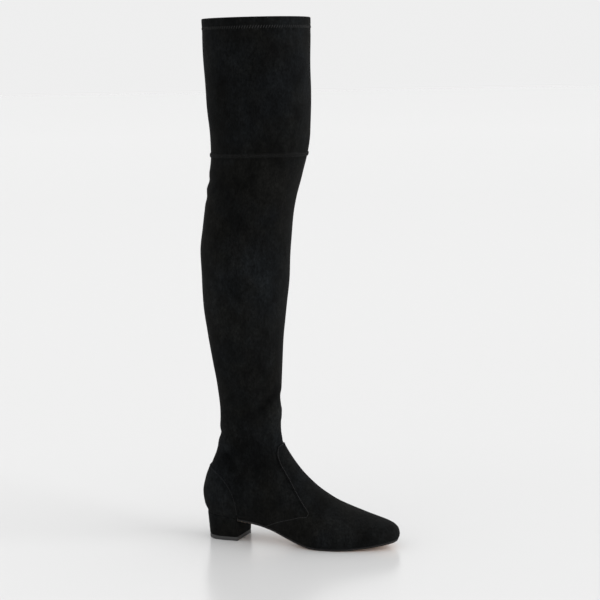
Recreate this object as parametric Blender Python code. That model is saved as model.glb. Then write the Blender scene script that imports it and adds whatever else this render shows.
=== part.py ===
"""Thigh high boot for the right foot: stretch suede on a low covered block heel.

The boot stands on the floor at z = 0 with its toe towards +X, its lateral side towards -Y and its medial side
towards +Y. The origin is the middle of the heel's rest face. Lengths are in metres.
"""

import math

import bmesh
import bpy
from mathutils import Vector

# Driving dimensions of the sole and the heel
SOLE_LENGTH = 0.260
BALL_WIDTH = 0.080
HEEL_WIDTH = 0.054
HEEL_HEIGHT = 0.036
TREAD_FLOOR = 0.0033
TOE_SPRING = 0.0090
OUTSOLE_THICKNESS = 0.0030
OUTSOLE_MARGIN = 0.0007
OUTSOLE_EDGE_SLANT = 0.0008
INSOLE_THICKNESS = 0.0025
HEEL_LENGTH = 0.048
HEEL_TAPER = 0.0035
HEEL_MARGIN = 0.0010
TOP_PIECE_THICKNESS = 0.0050

# Driving dimensions of the foot and the leg of the upper
INSTEP_HEIGHT = 0.0720
FOOT_WIDTH = 0.0860
LEG_HEIGHT = 0.6440
KNEE_SEAM_HEIGHT = 0.4710
ANKLE_DEPTH = 0.0805
ANKLE_WIDTH = 0.0690
CALF_DEPTH = 0.1170
CALF_WIDTH = 0.1090
KNEE_DEPTH = 0.1240
KNEE_WIDTH = 0.1150
COLLAR_DEPTH = 0.1386
COLLAR_WIDTH = 0.1350

# Walls, overlays and clearances
WALL = 0.0016
OVERLAY_THICKNESS = 0.0010
BAND_HEIGHT = 0.0060
BAND_THICKNESS = 0.0008
HEM_HEIGHT = 0.0130
HEM_STEP = 0.0008
CLEARANCE = 0.0003
COUNTER_HEIGHT = 0.0640

# Fineness of the faceted walls
COLUMNS = 28
CROSS_STEPS = 4
THIGH_STEPS = 2
HEEL_TURNS = 9
STATION_GAP = 0.0020
BISECTIONS = 40

# The sole line. Along: share of the sole length. Drop: share of the drop from the heel seat to the tread.
# Spring: share of the toe spring.
SOLE_LINE = (
    # along  drop  spring
    (0.000, 1.000, 0.00),
    (0.095, 0.930, 0.00),
    (0.186, 0.845, 0.00),
    (0.240, 0.790, 0.00),
    (0.300, 0.710, 0.00),
    (0.360, 0.585, 0.00),
    (0.420, 0.420, 0.00),
    (0.480, 0.250, 0.00),
    (0.543, 0.105, 0.00),
    (0.595, 0.024, 0.00),
    (0.643, 0.000, 0.00),
    (0.722, 0.000, 0.00),
    (0.814, 0.000, 0.15),
    (0.911, 0.000, 0.53),
    (1.000, 0.000, 1.00),
)

# Half widths of the sole. Along: share of its length. Width: the size that they follow, with a share for
# each side.
OUTLINE = (
    # along width       lateral medial
    (0.109, HEEL_WIDTH, 0.500, 0.500),
    (0.186, HEEL_WIDTH, 0.500, 0.482),
    (0.291, HEEL_WIDTH, 0.482, 0.410),
    (0.368, BALL_WIDTH, 0.330, 0.256),
    (0.465, BALL_WIDTH, 0.388, 0.288),
    (0.562, BALL_WIDTH, 0.468, 0.388),
    (0.640, BALL_WIDTH, 0.505, 0.470),
    (0.705, BALL_WIDTH, 0.494, 0.498),
    (0.775, BALL_WIDTH, 0.445, 0.478),
    (0.833, BALL_WIDTH, 0.385, 0.425),
    (0.860, BALL_WIDTH, 0.352, 0.392),
)
# Behind its first row the outline turns round the heel
HEEL_ROUND = OUTLINE[0][0]
HEEL_SQUARENESS = 2.2

# Sections of the foot, from the toe to the back of the heel. Stand: where it meets the sole line. Ridge:
# where its top is. Both are shares of the sole length. Rise: its top above the sole line, as a share of
# the instep height. Lateral and medial: widest half widths as shares of the foot width. Low and high:
# squareness below and above the widest place. Shift: how far the ridge lies towards the medial side, as a
# share of the foot width. Taper: the share by which the half width narrows evenly towards the top.
FOOT_SECTIONS = (
    # stand  ridge   rise  lateral medial low   high  shift  taper
    (0.860, 1.000, 0.000, 0.3275, 0.3650, 2.2, 2.60, 0.030, 0.36),
    (0.858, 1.004, 0.076, 0.3390, 0.3740, 2.2, 2.55, 0.030, 0.34),
    (0.854, 0.999, 0.164, 0.3500, 0.3850, 2.2, 2.48, 0.030, 0.30),
    (0.847, 0.979, 0.252, 0.3640, 0.3980, 2.2, 2.38, 0.030, 0.23),
    (0.833, 0.946, 0.329, 0.3830, 0.4180, 2.2, 2.25, 0.028, 0.14),
    (0.812, 0.897, 0.412, 0.4100, 0.4420, 2.2, 2.15, 0.026, 0.07),
    (0.783, 0.839, 0.500, 0.4420, 0.4690, 2.2, 2.10, 0.024, 0.03),
    (0.748, 0.779, 0.588, 0.4730, 0.4880, 2.2, 2.05, 0.024, 0.00),
    (0.707, 0.721, 0.671, 0.5000, 0.4980, 2.2, 2.00, 0.026, 0.00),
    (0.663, 0.667, 0.754, 0.5120, 0.4880, 2.2, 1.95, 0.030, 0.00),
    (0.612, 0.616, 0.860, 0.5060, 0.4590, 2.2, 1.92, 0.034, 0.00),
    (0.558, 0.572, 0.950, 0.4770, 0.4240, 2.2, 1.90, 0.036, 0.00),
    (0.500, 0.533, 1.040, 0.4480, 0.3950, 2.2, 1.90, 0.036, 0.00),
    (0.438, 0.500, 1.125, 0.4240, 0.3780, 2.2, 1.90, 0.034, 0.00),
    (0.372, 0.473, 1.212, 0.4070, 0.3720, 2.2, 1.92, 0.030, 0.00),
    (0.302, 0.450, 1.298, 0.3950, 0.3720, 2.2, 1.95, 0.025, 0.00),
    (0.233, 0.431, 1.380, 0.3900, 0.3720, 2.2, 2.00, 0.020, 0.00),
    (0.167, 0.417, 1.455, 0.3840, 0.3720, 2.2, 2.00, 0.016, 0.00),
    (0.109, 0.407, 1.518, 0.3780, 0.3720, 2.2, 2.00, 0.012, 0.00),
    (0.055, 0.401, 1.568, 0.3740, 0.3700, 2.2, 2.00, 0.010, 0.00),
    (0.015, 0.399, 1.600, 0.3720, 0.3690, 2.2, 2.00, 0.008, 0.00),
    (0.000, 0.398, 1.633, 0.3710, 0.3690, 2.3, 2.00, 0.008, 0.00),
)

# Sections of the leg, upwards from the heel. Back and front: heights of its two ends above the heel seat,
# as shares of the leg height. Heel: where its back end is, as a share of the sole length. Depth and
# width: the sizes that it follows, with its share of each. Low and high: squareness of its back and front
# halves.
LEG_SECTIONS = (
    # back   front   heel    depth         share  width         share  low   high
    (0.0140, 0.1710, -0.015, SOLE_LENGTH, 0.4087, ANKLE_WIDTH, 0.926, 2.35, 2.00),
    (0.0370, 0.1820, -0.022, SOLE_LENGTH, 0.4143, ANKLE_WIDTH, 0.936, 2.35, 2.00),
    (0.0650, 0.1970, -0.007, SOLE_LENGTH, 0.3997, ANKLE_WIDTH, 0.948, 2.35, 2.00),
    (0.0960, 0.2170, 0.024, SOLE_LENGTH, 0.3697, ANKLE_WIDTH, 0.962, 2.30, 2.00),
    (0.1300, 0.2410, 0.060, ANKLE_DEPTH, 1.085, ANKLE_WIDTH, 0.980, 2.25, 2.02),
    (0.1690, 0.2670, 0.079, ANKLE_DEPTH, 1.029, ANKLE_WIDTH, 1.018, 2.20, 2.04),
    (0.2110, 0.2950, 0.083, ANKLE_DEPTH, 1.025, ANKLE_WIDTH, 1.085, 2.15, 2.06),
    (0.2590, 0.3260, 0.072, CALF_DEPTH, 0.740, CALF_WIDTH, 0.743, 2.15, 2.08),
    (0.3120, 0.3620, 0.052, CALF_DEPTH, 0.796, CALF_WIDTH, 0.817, 2.15, 2.10),
    (0.3680, 0.4020, 0.029, CALF_DEPTH, 0.873, CALF_WIDTH, 0.890, 2.15, 2.10),
    (0.4255, 0.4440, 0.013, CALF_DEPTH, 0.936, CALF_WIDTH, 0.954, 2.15, 2.10),
    (0.4800, 0.4870, 0.007, CALF_DEPTH, 0.975, CALF_WIDTH, 0.991, 2.15, 2.10),
    (0.5340, 0.5340, 0.006, CALF_DEPTH, 0.998, CALF_WIDTH, 1.000, 2.15, 2.10),
    (0.5885, 0.5885, 0.019, CALF_DEPTH, 0.996, CALF_WIDTH, 0.991, 2.12, 2.12),
    (0.6430, 0.6430, 0.042, CALF_DEPTH, 1.000, CALF_WIDTH, 0.987, 2.12, 2.12),
    (0.6895, 0.6895, 0.062, KNEE_DEPTH, 0.972, KNEE_WIDTH, 0.965, 2.12, 2.12),
    (0.7315, 0.7315, 0.076, KNEE_DEPTH, 1.000, KNEE_WIDTH, 1.000, 2.12, 2.12),
    (0.7750, 0.7750, 0.074, COLLAR_DEPTH, 0.932, COLLAR_WIDTH, 0.889, 2.12, 2.12),
    (0.8290, 0.8290, 0.064, COLLAR_DEPTH, 0.964, COLLAR_WIDTH, 0.926, 2.12, 2.12),
    (0.8910, 0.8910, 0.055, COLLAR_DEPTH, 0.978, COLLAR_WIDTH, 0.956, 2.12, 2.12),
    (0.9530, 0.9530, 0.050, COLLAR_DEPTH, 0.990, COLLAR_WIDTH, 0.985, 2.12, 2.12),
    (1.0000, 1.0000, 0.047, COLLAR_DEPTH, 1.000, COLLAR_WIDTH, 1.000, 2.12, 2.12),
)

# Seams in the side view. Along: share of the sole length. Above: height over the sole line at that place,
# as a share of the instep height. The vamp seam runs from the front of the ankle down to a rounded point
# and back to the sole.
VAMP_SEAM_LATERAL = (
    # along above
    (0.412, 1.575),
    (0.392, 1.475),
    (0.392, 1.380),
    (0.411, 1.220),
    (0.460, 1.020),
    (0.508, 0.830),
    (0.554, 0.670),
    (0.584, 0.580),
    (0.583, 0.542),
    (0.549, 0.505),
    (0.455, 0.318),
    (0.335, 0.000),
)
VAMP_SEAM_MEDIAL = (
    # along above
    (0.412, 1.575),
    (0.388, 1.465),
    (0.405, 1.270),
    (0.442, 1.100),
    (0.491, 0.950),
    (0.535, 0.850),
    (0.567, 0.745),
    (0.559, 0.635),
    (0.503, 0.510),
    (0.413, 0.280),
    (0.322, 0.000),
)

# The counter seam in the side view. Along: share of the heel's length. Above: height over the heel seat,
# as a share of the counter height.
COUNTER_SEAM = (
    # along above
    (0.10, 1.004),
    (0.30, 0.966),
    (0.55, 0.861),
    (0.80, 0.662),
    (0.98, 0.447),
    (1.07, 0.211),
    (1.09, 0.000),
)

# The blocks that cut the overlays: points along a seam, points along the sole, how far they reach beyond
# the boot, and the share of the foot width beside the ridge where the lateral seam turns into the medial
# one
SEAM_POINTS = 30
EDGE_POINTS = 24
CUTTER_REACH = 0.030
CREST_SHARE = 0.100

# Colours: linear red, green, blue
SUEDE_BLACK = (0.0072, 0.0070, 0.0075, 1.0)
SUEDE_SEAM = (0.0100, 0.0098, 0.0104, 1.0)
SOLE_TAN = (0.330, 0.180, 0.105, 1.0)
INSOLE_TAN = (0.380, 0.240, 0.150, 1.0)
RUBBER_BLACK = (0.0210, 0.0220, 0.0220, 1.0)


def clear_scene():
    for thing in list(bpy.data.objects):
        bpy.data.objects.remove(thing, do_unlink=True)


def material(name, colour, roughness):
    """A Principled BSDF material of one colour."""
    made = bpy.data.materials.new(name)
    made.use_nodes = True
    shader = made.node_tree.nodes["Principled BSDF"]
    shader.inputs["Base Color"].default_value = colour
    shader.inputs["Roughness"].default_value = roughness
    shader.inputs["Metallic"].default_value = 0.0
    made.diffuse_color = colour
    return made


def slopes(xs, ys):
    """Slopes at the knots of a curve that doesn't swing past its knots."""
    count = len(xs)
    secants = [(ys[i + 1] - ys[i]) / (xs[i + 1] - xs[i]) for i in range(count - 1)]
    found = [secants[0]]
    for i in range(1, count - 1):
        before, after = secants[i - 1], secants[i]
        if before * after <= 0.0:
            found.append(0.0)
        else:
            found.append(2.0 * before * after / (before + after))
    found.append(secants[-1])
    return found


def curve(xs, ys):
    """A smooth function through the knots (xs rising), held at its ends."""
    tangents = slopes(xs, ys)

    def value(x):
        if x <= xs[0]:
            return ys[0]
        if x >= xs[-1]:
            return ys[-1]
        i = max(k for k in range(len(xs) - 1) if xs[k] <= x)
        span = xs[i + 1] - xs[i]
        t = (x - xs[i]) / span
        low = (1.0 + 2.0 * t) * (1.0 - t) ** 2 * ys[i] + t * (1.0 - t) ** 2 * span * tangents[i]
        high = t * t * (3.0 - 2.0 * t) * ys[i + 1] + t * t * (t - 1.0) * span * tangents[i + 1]
        return low + high

    return value


def column(table, index):
    return [row[index] for row in table]


DROP_SHARE = curve(column(SOLE_LINE, 0), column(SOLE_LINE, 1))
SPRING_SHARE = curve(column(SOLE_LINE, 0), column(SOLE_LINE, 2))
LATERAL_EDGE = curve(column(OUTLINE, 0), [row[1] * row[2] for row in OUTLINE])
MEDIAL_EDGE = curve(column(OUTLINE, 0), [row[1] * row[3] for row in OUTLINE])


def sole_line(x):
    """Height of the upper's lower edge above the floor, x metres from the back of the heel."""
    along = x / SOLE_LENGTH
    drop = (HEEL_HEIGHT - TREAD_FLOOR) * DROP_SHARE(along)
    return TREAD_FLOOR + drop + TOE_SPRING * SPRING_SHARE(along)


def edge_half_widths(along):
    """Lateral and medial half widths of the sole at a share of its length, round at the heel."""
    if along >= HEEL_ROUND:
        return LATERAL_EDGE(along), MEDIAL_EDGE(along)
    reach = 1.0 - along / HEEL_ROUND
    part = max(0.0, 1.0 - reach**HEEL_SQUARENESS) ** (1.0 / HEEL_SQUARENESS)
    return LATERAL_EDGE(HEEL_ROUND) * part, MEDIAL_EDGE(HEEL_ROUND) * part


LAST_FOOT = len(FOOT_SECTIONS) - 1
LAST_LEG = LAST_FOOT + len(LEG_SECTIONS)
LEVEL_ROWS = sum(1 for row in LEG_SECTIONS if row[0] == row[1])


def foot_row(row):
    """Section values of one row of the foot table, in metres."""
    stand, ridge, rise, lateral, medial, low, high, shift, taper = row
    top_x = ridge * SOLE_LENGTH
    base_x = stand * SOLE_LENGTH
    top_z = sole_line(top_x) + rise * INSTEP_HEIGHT
    half = (lateral * FOOT_WIDTH, medial * FOOT_WIDTH)
    ends = (base_x, sole_line(base_x), top_x, top_z)
    return ends + half + (low, high, shift * FOOT_WIDTH, taper)


def leg_row(row):
    """Section values of one row of the leg table, in metres."""
    back, front, heel, depth, depth_share, width, width_share, low, high = row
    back_x = heel * SOLE_LENGTH
    half = 0.5 * width * width_share
    back_z = HEEL_HEIGHT + back * LEG_HEIGHT
    front_z = HEEL_HEIGHT + front * LEG_HEIGHT
    return (back_x, back_z, back_x + depth * depth_share, front_z, half, half, low, high, 0.0, 0.0)


SECTION_VALUES = [foot_row(row) for row in FOOT_SECTIONS] + [leg_row(row) for row in LEG_SECTIONS]
SECTION_KNOTS = [float(i) for i in range(len(SECTION_VALUES))]
SECTION_CURVES = [curve(SECTION_KNOTS, column(SECTION_VALUES, i)) for i in range(len(SECTION_VALUES[0]))]
STAND_CURVE = curve(SECTION_KNOTS[: LAST_FOOT + 1], column(FOOT_SECTIONS, 0))
BACK_X_CURVE = curve(SECTION_KNOTS[LAST_FOOT:], column(SECTION_VALUES[LAST_FOOT:], 0))
BACK_Z_CURVE = curve(SECTION_KNOTS[LAST_FOOT:], column(SECTION_VALUES[LAST_FOOT:], 1))


def section(place):
    """The section at a place counted along both tables: lower end, top, half widths, squareness and lean."""
    _, _, top_x, top_z, lateral, medial, low, high, shift, taper = (value(place) for value in SECTION_CURVES)
    if place < LAST_FOOT:
        stand = STAND_CURVE(place)
        base_x = stand * SOLE_LENGTH
        base_z = sole_line(base_x)
        edges = edge_half_widths(stand)
    else:
        base_x = BACK_X_CURVE(place)
        base_z = BACK_Z_CURVE(place)
        edges = (0.0, 0.0)
    return (base_x, base_z), (top_x, top_z), (lateral, medial), edges, (low, high), (shift, taper)


def half_ring(widest, edge, low, high, steps):
    """Shares along a section and half widths, from its lower end up to the ridge."""
    start = math.asin(min(1.0, edge / widest) ** (0.5 * low))
    first = math.cos(start) ** (2.0 / low)
    places = []
    for i in range(steps + 1):
        angle = start + (math.pi - start) * i / steps
        squareness = low if angle <= 0.5 * math.pi else high
        width = widest * abs(math.sin(angle)) ** (2.0 / squareness)
        along = abs(math.cos(angle)) ** (2.0 / squareness)
        along = first - along if angle <= 0.5 * math.pi else first + along
        places.append((along / (first + 1.0), width))
    places[0] = (0.0, edge)
    places[-1] = (1.0, 0.0)
    return places


def ring(place, columns):
    """Points of a section from the lateral end over the ridge to the medial end."""
    base, top, widest, edges, squareness, (shift, taper) = section(place)
    steps = columns // 2
    sides = []
    for side in (0, 1):
        sign = (-1.0, 1.0)[side]
        points = []
        for along, width in half_ring(widest[side], edges[side], squareness[0], squareness[1], steps):
            x = base[0] + (top[0] - base[0]) * along - 0.5 * HEEL_LENGTH
            z = base[1] + (top[1] - base[1]) * along
            points.append(Vector((x, sign * width * (1.0 - taper * along) + shift * along, z)))
        sides.append(points)
    return sides[0] + sides[1][-2::-1]


def place_at_height(height):
    """The place of the level leg section at a height above the floor."""
    low, high = float(LAST_LEG - LEVEL_ROWS + 1), float(LAST_LEG)
    for _ in range(BISECTIONS):
        middle = 0.5 * (low + high)
        if section(middle)[0][1] < height:
            low = middle
        else:
            high = middle
    return 0.5 * (low + high)


def wall_surface(places):
    """An open mesh through the sections at the given places, closed round from the heel upwards."""
    mesh = bmesh.new()
    rows = []
    for place in places:
        points = ring(place, COLUMNS)
        if place >= LAST_FOOT:
            verts = [mesh.verts.new(point) for point in points[:-1]]
            verts.append(verts[0])
        else:
            verts = [mesh.verts.new(point) for point in points]
        rows.append(verts)
    for lower, upper in zip(rows, rows[1:]):
        for i in range(COLUMNS):
            corners = [lower[i], lower[i + 1], upper[i + 1], upper[i]]
            mesh.faces.new(list(dict.fromkeys(corners)))
    bmesh.ops.triangulate(mesh, faces=mesh.faces)
    mesh.normal_update()
    return mesh, rows


def new_object(name, mesh, made_of):
    """Turns a closed bmesh into an object with its faces out."""
    bmesh.ops.recalc_face_normals(mesh, faces=mesh.faces)
    data = bpy.data.meshes.new(name)
    mesh.to_mesh(data)
    mesh.free()
    data.materials.append(made_of)
    thing = bpy.data.objects.new(name, data)
    bpy.context.scene.collection.objects.link(thing)
    data.shade_smooth()
    return thing


def shell(name, places, inner, outer, made_of):
    """A closed wall between two offsets from the upper's surface. The offsets are functions of the row."""
    surface, rows = wall_surface(places)
    facing = {}
    ridge = COLUMNS // 2
    middle = len(rows) // 2
    across = rows[middle][ridge].co - rows[middle][0].co
    sign = 1.0 if rows[middle][ridge].normal.dot(across) > 0.0 else -1.0
    row_of = {}
    for number, row in enumerate(rows):
        for vert in row:
            row_of[vert] = number
            facing[vert] = vert.normal * sign
    wall = bmesh.new()
    outside = {v: wall.verts.new(v.co + facing[v] * outer(row_of[v])) for v in surface.verts}
    inside = {v: wall.verts.new(v.co + facing[v] * inner(row_of[v])) for v in surface.verts}
    for face in surface.faces:
        wall.faces.new([outside[v] for v in face.verts])
        wall.faces.new([inside[v] for v in reversed(face.verts)])
    for edge in surface.edges:
        if edge.is_boundary:
            a, b = edge.verts
            wall.faces.new([outside[a], outside[b], inside[b], inside[a]])
    surface.free()
    return new_object(name, wall, made_of)


def rows_between(first, last, steps=1):
    """Places of the sections from one to another, each gap cut into steps."""
    count = int(round((last - first) * steps))
    return [first + (last - first) * i / count for i in range(count + 1)]


def feather_pairs(first_x, outset):
    """Lateral and medial points of the sole's outline, from first_x forward to the toe, moved outwards."""
    places = rows_between(0.0, float(LAST_FOOT))[1:]
    stations = sorted(STAND_CURVE(p) * SOLE_LENGTH for p in places)
    stations = [first_x] + [x for x in stations if x > first_x + STATION_GAP]
    lateral, medial = [], []
    for x in stations:
        edges = edge_half_widths(x / SOLE_LENGTH)
        lateral.append(Vector((x - 0.5 * HEEL_LENGTH, -edges[0])))
        medial.append(Vector((x - 0.5 * HEEL_LENGTH, edges[1])))
    toe = ring(0.0, COLUMNS)
    middle = COLUMNS // 2
    for i in range(middle):
        lateral.append(toe[i].xy)
        medial.append(toe[COLUMNS - i].xy)
    outline = lateral + [toe[middle].xy] + medial[::-1]
    moved = []
    for i, point in enumerate(outline):
        along = outline[min(i + 1, len(outline) - 1)] - outline[max(i - 1, 0)]
        out = Vector((along.y, -along.x)).normalized()
        moved.append(point + out * outset)
    count = len(lateral)
    return list(zip(moved[:count], moved[:count:-1]))


def heel_pairs(last_x, outset):
    """Lateral and medial points of the heel's outline, from its back forward to last_x, moved outwards."""
    reach = HEEL_ROUND * SOLE_LENGTH
    stations = [reach * (1.0 - math.cos(0.5 * math.pi * (i + 1) / HEEL_TURNS)) for i in range(HEEL_TURNS)]
    stations += [0.5 * (reach + last_x), last_x]
    pairs = []
    for x in stations:
        edges = edge_half_widths(x / SOLE_LENGTH)
        slant = max(0.0, 1.0 - x / reach)
        shift = x - outset * slant - 0.5 * HEEL_LENGTH
        grow = outset * math.sqrt(1.0 - slant * slant)
        pairs.append((Vector((shift, -edges[0] - grow)), Vector((shift, edges[1] + grow))))
    return pairs


def slab(name, low_pairs, low_z, high_pairs, high_z, made_of):
    """A closed slab between two outlines given as lateral and medial pairs, with heights from x."""
    mesh = bmesh.new()
    layers = []
    for pairs, height in ((low_pairs, low_z), (high_pairs, high_z)):
        rows = []
        for lateral, medial in pairs:
            points = [lateral.lerp(medial, i / CROSS_STEPS) for i in range(CROSS_STEPS + 1)]
            rows.append([mesh.verts.new((p.x, p.y, height(p.x + 0.5 * HEEL_LENGTH))) for p in points])
        layers.append(rows)
    low, high = layers
    for rows in layers:
        for near, far in zip(rows, rows[1:]):
            for i in range(CROSS_STEPS):
                mesh.faces.new([near[i], near[i + 1], far[i + 1], far[i]])
    for i in range(len(low) - 1):
        for side in (0, CROSS_STEPS):
            mesh.faces.new([low[i][side], low[i + 1][side], high[i + 1][side], high[i][side]])
    for i in range(CROSS_STEPS):
        for end in (0, -1):
            mesh.faces.new([low[end][i], low[end][i + 1], high[end][i + 1], high[end][i]])
    return new_object(name, mesh, made_of)


def side_points(seam, scale_x, scale_z, base):
    """A seam's points in the side view, smoothed between its table's rows."""
    knots = [float(i) for i in range(len(seam))]
    along = curve(knots, [row[0] * scale_x for row in seam])
    above = curve(knots, [row[1] * scale_z for row in seam])
    points = []
    for i in range(SEAM_POINTS + 1):
        knot = knots[-1] * i / SEAM_POINTS
        x = along(knot)
        points.append((x - 0.5 * HEEL_LENGTH, base(x) + above(knot)))
    return points


def cutter(name, outlines):
    """A closed block whose side outline changes across the boot: pairs of y and outline points."""
    mesh = bmesh.new()
    rings = [[mesh.verts.new((x, y, z)) for x, z in outline] for y, outline in outlines]
    count = len(rings[0])
    for near, far in zip(rings, rings[1:]):
        for i in range(count):
            following = (i + 1) % count
            mesh.faces.new([near[i], near[following], far[following], far[i]])
    mesh.faces.new(rings[0])
    mesh.faces.new(rings[-1][::-1])
    bmesh.ops.triangulate(mesh, faces=[face for face in mesh.faces if len(face.verts) > 4])
    bmesh.ops.recalc_face_normals(mesh, faces=mesh.faces)
    data = bpy.data.meshes.new(name)
    mesh.to_mesh(data)
    mesh.free()
    thing = bpy.data.objects.new(name, data)
    thing.display_type = "WIRE"
    thing.hide_render = True
    bpy.context.scene.collection.objects.link(thing)
    return thing


def keep_inside(thing, block):
    """Keeps the part of an overlay that lies inside the block."""
    cut = thing.modifiers.new("Seam outline", "BOOLEAN")
    cut.operation = "INTERSECT"
    cut.solver = "EXACT"
    cut.object = block


def lower_edge(first_x, last_x):
    """Points just above the sole line, after first_x up to last_x."""
    points = []
    for i in range(EDGE_POINTS):
        x = first_x + (last_x - first_x) * (i + 1) / EDGE_POINTS
        points.append((x - 0.5 * HEEL_LENGTH, sole_line(x) + CLEARANCE))
    return points


def build_sole(sole_material, insole_material):
    """The outsole from the heel breast to the toe and the insole along the whole foot."""
    breast = HEEL_LENGTH + CLEARANCE + HEEL_MARGIN
    slab(
        "outsole",
        feather_pairs(breast, OUTSOLE_MARGIN - OUTSOLE_EDGE_SLANT),
        lambda x: sole_line(x) - CLEARANCE - OUTSOLE_THICKNESS,
        feather_pairs(breast, OUTSOLE_MARGIN),
        lambda x: sole_line(x) - CLEARANCE,
        sole_material,
    )
    inset = -(WALL + 3.0 * CLEARANCE)
    back = WALL + 10.0 * CLEARANCE
    pairs = feather_pairs(back, inset)
    slab(
        "insole",
        pairs,
        sole_line,
        pairs,
        lambda x: sole_line(x) + INSOLE_THICKNESS,
        insole_material,
    )


def build_heel(suede, rubber):
    """The covered block and the rubber piece under it."""
    top = heel_pairs(HEEL_LENGTH, HEEL_MARGIN)
    foot = []
    for lateral, medial in top:
        share = (lateral.x + 0.5 * HEEL_LENGTH) / HEEL_LENGTH
        x = lateral.x + HEEL_MARGIN * (1.0 - share)
        foot.append((Vector((x, lateral.y + HEEL_TAPER)), Vector((x, medial.y - HEEL_TAPER))))
    foot[0] = (
        Vector((foot[0][0].x, min(foot[0][0].y, -HEEL_TAPER))),
        Vector((foot[0][1].x, max(foot[0][1].y, HEEL_TAPER))),
    )
    slab(
        "heel_block",
        foot,
        lambda x: TOP_PIECE_THICKNESS + CLEARANCE,
        top,
        lambda x: sole_line(x) - CLEARANCE,
        suede,
    )
    slab("heel_top_piece", foot, lambda x: 0.0, foot, lambda x: TOP_PIECE_THICKNESS, rubber)


def upper_places():
    """Places of the upper's sections, from the toe to the knee seam."""
    foot_places = rows_between(0.0, float(LAST_FOOT))
    knee = HEEL_HEIGHT + KNEE_SEAM_HEIGHT
    band_start = place_at_height(knee - 0.5 * BAND_HEIGHT)
    leg_places = rows_between(float(LAST_FOOT), band_start)
    return foot_places + leg_places[1:] + [place_at_height(knee)]


def build_upper(suede, seam_suede):
    """The hollow upper, the thigh panel above the knee seam and the band over that seam."""
    knee = HEEL_HEIGHT + KNEE_SEAM_HEIGHT
    top = HEEL_HEIGHT + LEG_HEIGHT
    shell("upper", upper_places(), lambda row: -WALL, lambda row: 0.0, suede)

    hem = top - HEM_HEIGHT
    band_end = place_at_height(knee + 0.5 * BAND_HEIGHT)
    thigh = [place_at_height(knee + CLEARANCE)]
    thigh += rows_between(band_end, place_at_height(hem - HEM_STEP), THIGH_STEPS)
    plain_rows = len(thigh)
    thigh += [place_at_height(hem), float(LAST_LEG)]
    shell(
        "thigh_panel",
        thigh,
        lambda row: -WALL if row < plain_rows else -2.0 * WALL,
        lambda row: 0.0,
        suede,
    )
    band = [place_at_height(knee + BAND_HEIGHT * share) for share in (-0.5, 0.0, 0.5)]
    shell("knee_band", band, lambda row: CLEARANCE, lambda row: CLEARANCE + BAND_THICKNESS, seam_suede)


def build_overlays(suede):
    """The vamp and the heel counter, cut between two forms of the upper by their seams."""
    inner = CLEARANCE
    outer = CLEARANCE + OVERLAY_THICKNESS
    toe = SOLE_LENGTH + CUTTER_REACH
    half = 0.5 * FOOT_WIDTH + CUTTER_REACH
    crest = CREST_SHARE * FOOT_WIDTH

    outlines = []
    seams = (VAMP_SEAM_LATERAL, VAMP_SEAM_MEDIAL)
    for seam, ys in zip(seams, ((-half, -crest), (crest, half))):
        line = side_points(seam, SOLE_LENGTH, INSTEP_HEIGHT, sole_line)
        line[-1] = (line[-1][0], line[-1][1] + CLEARANCE)
        first_x = line[-1][0] + 0.5 * HEEL_LENGTH
        under = lower_edge(first_x, toe)
        high = (toe, line[0][1] + CUTTER_REACH)
        peak = (line[0][0] + 0.5 * CUTTER_REACH, line[0][1] + CUTTER_REACH)
        outlines += [(y, line + under + [high, peak]) for y in ys]
    foot = [place for place in upper_places() if place <= LAST_FOOT + 1]
    vamp = shell("vamp", foot, lambda row: inner, lambda row: outer, suede)
    keep_inside(vamp, cutter("vamp_cutter", outlines))

    line = side_points(COUNTER_SEAM, HEEL_LENGTH, COUNTER_HEIGHT, lambda x: sole_line(0.0))
    end_x = COUNTER_SEAM[-1][0] * HEEL_LENGTH
    line = [point for point in line if point[1] > sole_line(point[0] + 0.5 * HEEL_LENGTH) + CLEARANCE]
    line.append((end_x - 0.5 * HEEL_LENGTH, sole_line(end_x) + CLEARANCE))
    back = -CUTTER_REACH
    start = (back - 0.5 * HEEL_LENGTH, line[0][1])
    outline = line + lower_edge(end_x, back) + [start]
    counter = shell("heel_counter", upper_places(), lambda row: inner, lambda row: outer, suede)
    keep_inside(counter, cutter("counter_cutter", [(-half, outline), (half, outline)]))


def build():
    clear_scene()
    suede = material("suede_black", SUEDE_BLACK, 0.95)
    seam_suede = material("suede_seam", SUEDE_SEAM, 0.90)
    sole = material("sole_leather", SOLE_TAN, 0.45)
    insole = material("insole_leather", INSOLE_TAN, 0.60)
    rubber = material("heel_rubber", RUBBER_BLACK, 0.60)
    build_sole(sole, insole)
    build_heel(suede, rubber)
    build_upper(suede, seam_suede)
    build_overlays(suede)


build()
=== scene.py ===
"""Looks of the thigh high boot: black stretch suede on a low covered block heel, on a pale studio floor."""

import math

import bmesh
import bpy
import numpy as np
from mathutils import Matrix, Vector


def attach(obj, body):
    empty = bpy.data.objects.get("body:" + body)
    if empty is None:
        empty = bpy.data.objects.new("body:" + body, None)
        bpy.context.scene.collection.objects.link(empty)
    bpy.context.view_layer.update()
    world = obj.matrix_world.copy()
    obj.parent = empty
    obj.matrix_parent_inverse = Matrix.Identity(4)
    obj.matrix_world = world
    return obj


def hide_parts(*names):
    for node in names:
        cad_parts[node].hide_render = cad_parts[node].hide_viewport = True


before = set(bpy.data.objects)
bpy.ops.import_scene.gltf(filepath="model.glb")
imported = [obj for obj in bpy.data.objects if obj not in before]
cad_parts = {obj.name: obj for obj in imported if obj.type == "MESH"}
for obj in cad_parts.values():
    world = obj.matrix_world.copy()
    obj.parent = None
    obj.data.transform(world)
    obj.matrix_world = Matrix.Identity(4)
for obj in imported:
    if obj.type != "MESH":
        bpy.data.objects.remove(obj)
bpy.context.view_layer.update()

# Sizes of the boot, in metres, as in the solids
SOLE_LENGTH = 0.26
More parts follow.
